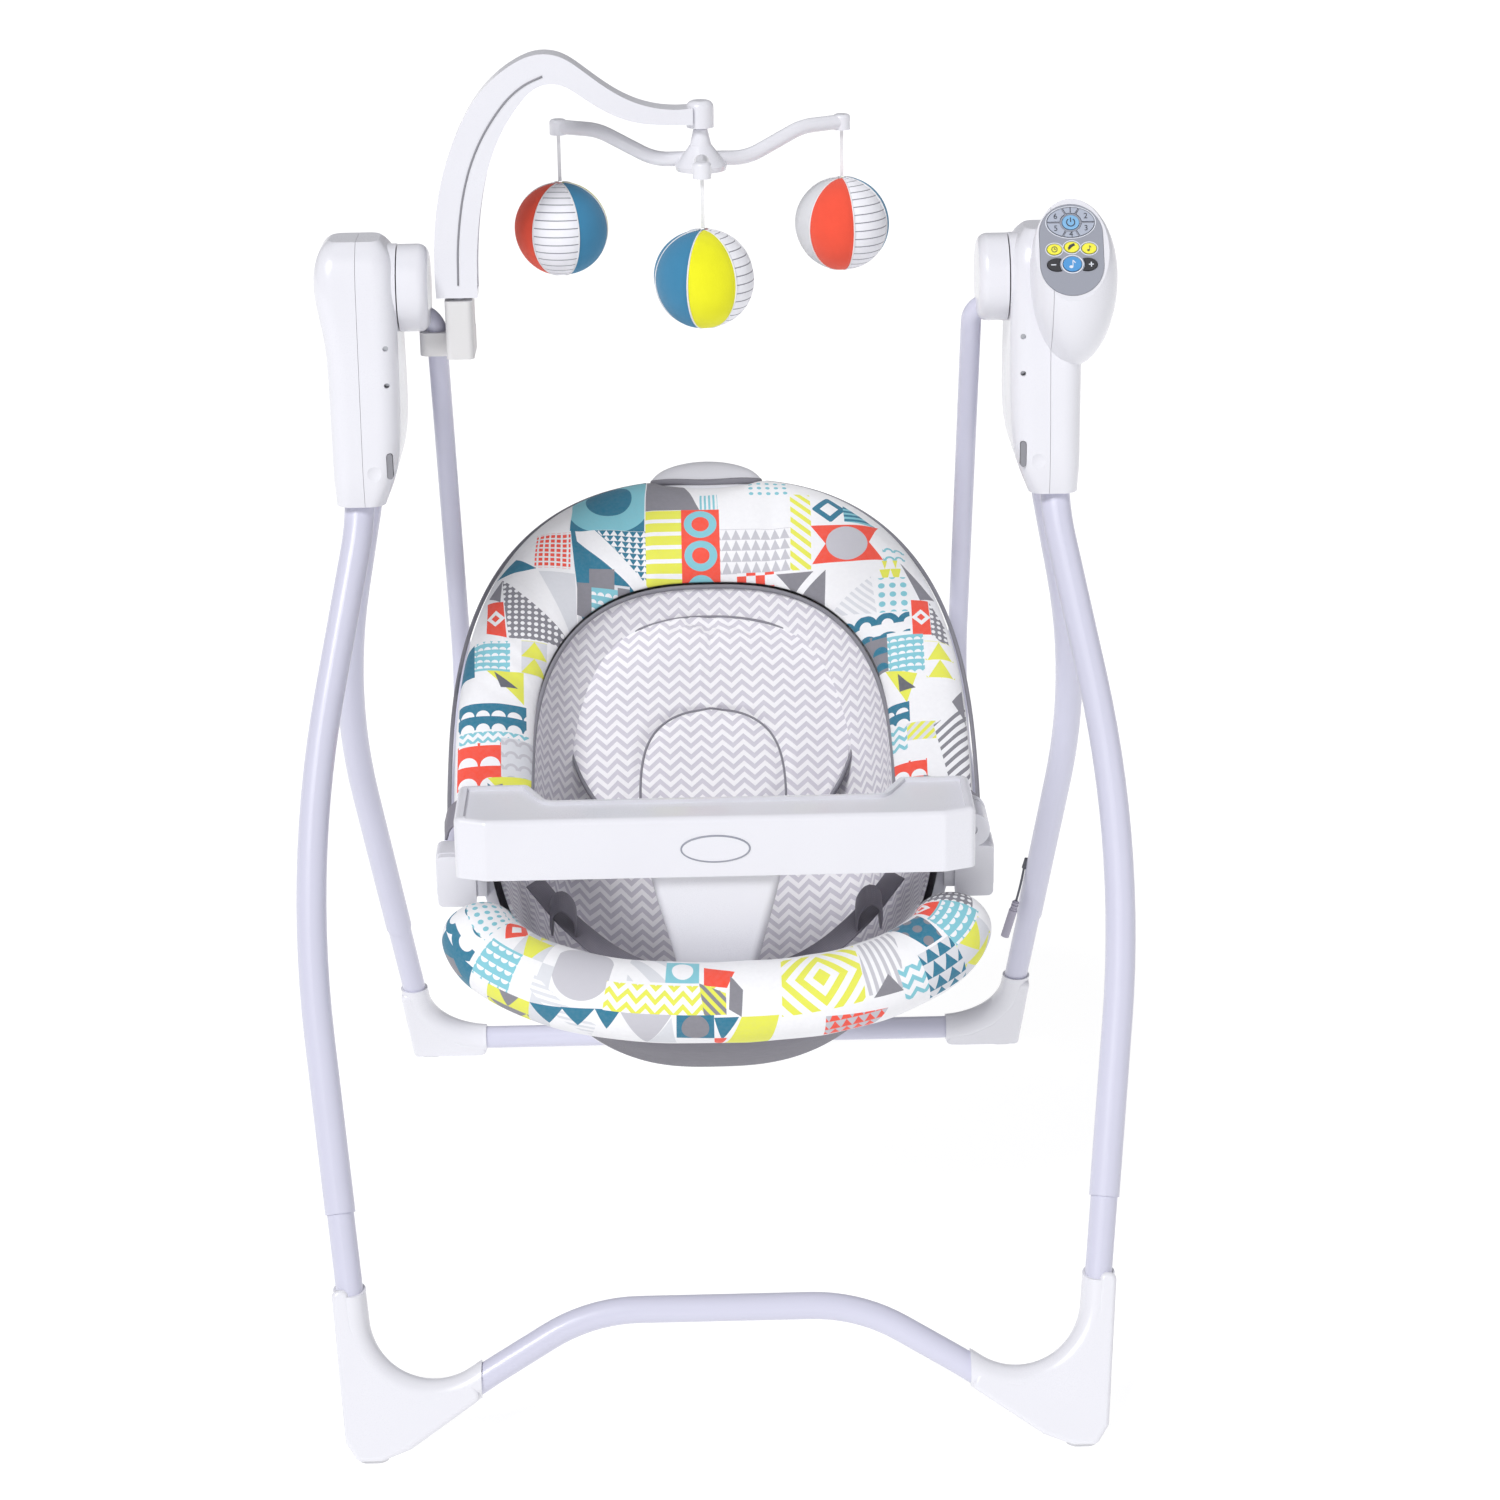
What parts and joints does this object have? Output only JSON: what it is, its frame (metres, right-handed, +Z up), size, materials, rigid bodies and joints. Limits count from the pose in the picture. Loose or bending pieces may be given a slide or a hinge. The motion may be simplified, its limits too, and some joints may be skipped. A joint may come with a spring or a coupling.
{
  "type": "baby swing",
  "caption": "Powered baby swing: folding A-frame with two tall pivot housings, padded reclining seat with tray, and a soft toy mobile on a curved arm.",
  "frame": {"origin": "on the floor, under the middle of the footprint", "axes": "+Z up, the seat faces -Y, +X is the side with the control panel"},
  "size_m": [0.7086, 0.8171, 1.0943],
  "materials": {
    "white_tube": "satin white powder coat",
    "white_plastic": "glossy white injection-moulded plastic",
    "rubber_pad": "soft pale grey rubber",
    "panel_grey": "satin mid grey plastic",
    "button_grey": "satin grey plastic",
    "clamp_beige": "satin warm grey plastic",
    "steel": "zinc-plated steel",
    "board_green": "circuit board",
    "lead_grey": "matte dark grey cable sheath",
    "socket_lilac": "satin lilac grey plastic",
    "print_fabric": "woven polyester printed with a patchwork of shapes",
    "chevron_fabric": "soft woven polyester with a pale chevron print",
    "strap_webbing": "grey woven webbing",
    "ribbon_white": "white satin ribbon",
    "toy_fabric": "stuffed fabric panels in several colours",
    "key_grey": "satin grey keys with dark digits",
    "key_blue": "satin blue keys",
    "key_yellow": "satin yellow keys",
    "key_black": "satin black keys"
  },
  "bodies": {
    "frame": {"front_leg_left": "white_tube", "front_leg_right": "white_tube", "front_base_tube": "white_tube", "front_feet": "white_plastic", "front_foot_pads": "rubber_pad", "housing_left_outer": "white_plastic", "housing_left_inner": "white_plastic", "housing_right_outer": "white_plastic", "housing_right_inner": "white_plastic", "control_panel": "panel_grey", "drive_motor": "steel", "circuit_board": "board_green", "frame_bolts": "steel"},
    "rear_frame": {"rear_leg_left": "white_tube", "rear_leg_right": "white_tube", "rear_base_tube": "white_tube", "rear_feet": "white_plastic", "rear_foot_pads": "rubber_pad", "power_lead": "lead_grey", "lead_grommet": "lead_grey", "lead_socket": "socket_lilac"},
    "fold_button_left": {"fold_button_left": "button_grey"},
    "fold_button_right": {"fold_button_right": "button_grey"},
    "swing": {"hub_left": "white_plastic", "hub_right": "white_plastic", "pivot_axles": "steel", "swing_arm_left": "white_tube", "swing_arm_right": "white_tube", "seat_brackets": "white_plastic", "mobile_clamp": "clamp_beige"},
    "seat": {"seat_shell": "white_plastic", "tray_mounts": "white_plastic", "seat_cover": "print_fabric", "front_bolster": "print_fabric", "seat_liner": "chevron_fabric", "infant_support": "chevron_fabric", "waist_straps": "strap_webbing"},
    "tray": {"tray": "white_plastic", "crotch_post": "white_plastic"},
    "mobile": {"mobile_arm": "white_plastic"},
    "spider": {"mobile_spider": "white_plastic"},
    "toy_front": {"toy_front": "toy_fabric", "ribbon_front": "ribbon_white"},
    "toy_right": {"toy_right": "toy_fabric", "ribbon_right": "ribbon_white"},
    "toy_left": {"toy_left": "toy_fabric", "ribbon_left": "ribbon_white"},
    "speed_key_1": {"speed_key_1": "key_grey"},
    "speed_key_2": {"speed_key_2": "key_grey"},
    "speed_key_3": {"speed_key_3": "key_grey"},
    "speed_key_4": {"speed_key_4": "key_grey"},
    "speed_key_5": {"speed_key_5": "key_grey"},
    "speed_key_6": {"speed_key_6": "key_grey"},
    "power_key": {"power_key": "key_blue"},
    "timer_key": {"timer_key": "key_yellow"},
    "nature_key": {"nature_key": "key_yellow"},
    "melody_key": {"melody_key": "key_yellow"},
    "music_key": {"music_key": "key_blue"},
    "volume_down_key": {"volume_down_key": "key_black"},
    "volume_up_key": {"volume_up_key": "key_black"}
  },
  "joints": [
    {"name": "frame_fold", "type": "hinge", "parent": "frame", "child": "rear_frame", "pos_m": [0, 0.022, 0.766], "axis": [1, 0, 0], "range_deg": [-45, 0]},
    {"name": "fold_button_left_press", "type": "slide", "parent": "frame", "child": "fold_button_left", "axis": [0, 1, 0], "range_m": [0, 0.003], "stiffness_N_per_m": 400, "springref_m": -0.001},
    {"name": "fold_button_right_press", "type": "slide", "parent": "frame", "child": "fold_button_right", "axis": [0, 1, 0], "range_m": [0, 0.003], "stiffness_N_per_m": 400, "springref_m": -0.001},
    {"name": "swing_pivot", "type": "hinge", "parent": "frame", "child": "swing", "pos_m": [0, 0, 0.898], "axis": [1, 0, 0], "range_deg": [-18, 18]},
    {"name": "seat_recline", "type": "hinge", "parent": "swing", "child": "seat", "pos_m": [0, -0.108, 0.41], "axis": [-1, 0, 0], "range_deg": [0, 18]},
    {"name": "tray_flip", "type": "hinge", "parent": "seat", "child": "tray", "pos_m": [0.219, -0.142, 0.456], "axis": [0, 1, 0], "range_deg": [0, 60]},
    {"name": "mobile_swivel", "type": "hinge", "parent": "swing", "child": "mobile", "pos_m": [-0.208, 0, 0.885], "axis": [0, 0, 1], "range_deg": [0, 90]},
    {"name": "mobile_spin", "type": "hinge", "parent": "mobile", "child": "spider", "pos_m": [0, 0, 1], "axis": [0, 0, 1], "continuous": true},
    {"name": "toy_front_sway", "type": "hinge", "parent": "spider", "child": "toy_front", "pos_m": [0, -0.14, 1.0133], "axis": [0, -1, 0], "range_deg": [-25, 25]},
    {"name": "toy_right_sway", "type": "hinge", "parent": "spider", "child": "toy_right", "pos_m": [0.12124, 0.07, 1.0133], "axis": [0.866, 0.5, 0], "range_deg": [-25, 25]},
    {"name": "toy_left_sway", "type": "hinge", "parent": "spider", "child": "toy_left", "pos_m": [-0.12124, 0.07, 1.0133], "axis": [-0.866, 0.5, 0], "range_deg": [-25, 25]},
    {"name": "speed_key_1_press", "type": "slide", "parent": "frame", "child": "speed_key_1", "axis": [0, 0.848, -0.5299], "range_m": [0, 0.001], "stiffness_N_per_m": 300, "springref_m": -0.0005},
    {"name": "speed_key_2_press", "type": "slide", "parent": "frame", "child": "speed_key_2", "axis": [0, 0.848, -0.5299], "range_m": [0, 0.001], "stiffness_N_per_m": 300, "springref_m": -0.0005},
    {"name": "speed_key_3_press", "type": "slide", "parent": "frame", "child": "speed_key_3", "axis": [0, 0.848, -0.5299], "range_m": [0, 0.001], "stiffness_N_per_m": 300, "springref_m": -0.0005},
    {"name": "speed_key_4_press", "type": "slide", "parent": "frame", "child": "speed_key_4", "axis": [0, 0.848, -0.5299], "range_m": [0, 0.001], "stiffness_N_per_m": 300, "springref_m": -0.0005},
    {"name": "speed_key_5_press", "type": "slide", "parent": "frame", "child": "speed_key_5", "axis": [0, 0.848, -0.5299], "range_m": [0, 0.001], "stiffness_N_per_m": 300, "springref_m": -0.0005},
    {"name": "speed_key_6_press", "type": "slide", "parent": "frame", "child": "speed_key_6", "axis": [0, 0.848, -0.5299], "range_m": [0, 0.001], "stiffness_N_per_m": 300, "springref_m": -0.0005},
    {"name": "power_key_press", "type": "slide", "parent": "frame", "child": "power_key", "axis": [0, 0.848, -0.5299], "range_m": [0, 0.001], "stiffness_N_per_m": 300, "springref_m": -0.0005},
    {"name": "timer_key_press", "type": "slide", "parent": "frame", "child": "timer_key", "axis": [0, 0.848, -0.5299], "range_m": [0, 0.001], "stiffness_N_per_m": 300, "springref_m": -0.0005},
    {"name": "nature_key_press", "type": "slide", "parent": "frame", "child": "nature_key", "axis": [0, 0.848, -0.5299], "range_m": [0, 0.001], "stiffness_N_per_m": 300, "springref_m": -0.0005},
    {"name": "melody_key_press", "type": "slide", "parent": "frame", "child": "melody_key", "axis": [0, 0.848, -0.5299], "range_m": [0, 0.001], "stiffness_N_per_m": 300, "springref_m": -0.0005},
    {"name": "music_key_press", "type": "slide", "parent": "frame", "child": "music_key", "axis": [0, 0.848, -0.5299], "range_m": [0, 0.001], "stiffness_N_per_m": 300, "springref_m": -0.0005},
    {"name": "volume_down_key_press", "type": "slide", "parent": "frame", "child": "volume_down_key", "axis": [0, 0.848, -0.5299], "range_m": [0, 0.001], "stiffness_N_per_m": 300, "springref_m": -0.0005},
    {"name": "volume_up_key_press", "type": "slide", "parent": "frame", "child": "volume_up_key", "axis": [0, 0.848, -0.5299], "range_m": [0, 0.001], "stiffness_N_per_m": 300, "springref_m": -0.0005}
  ]
}
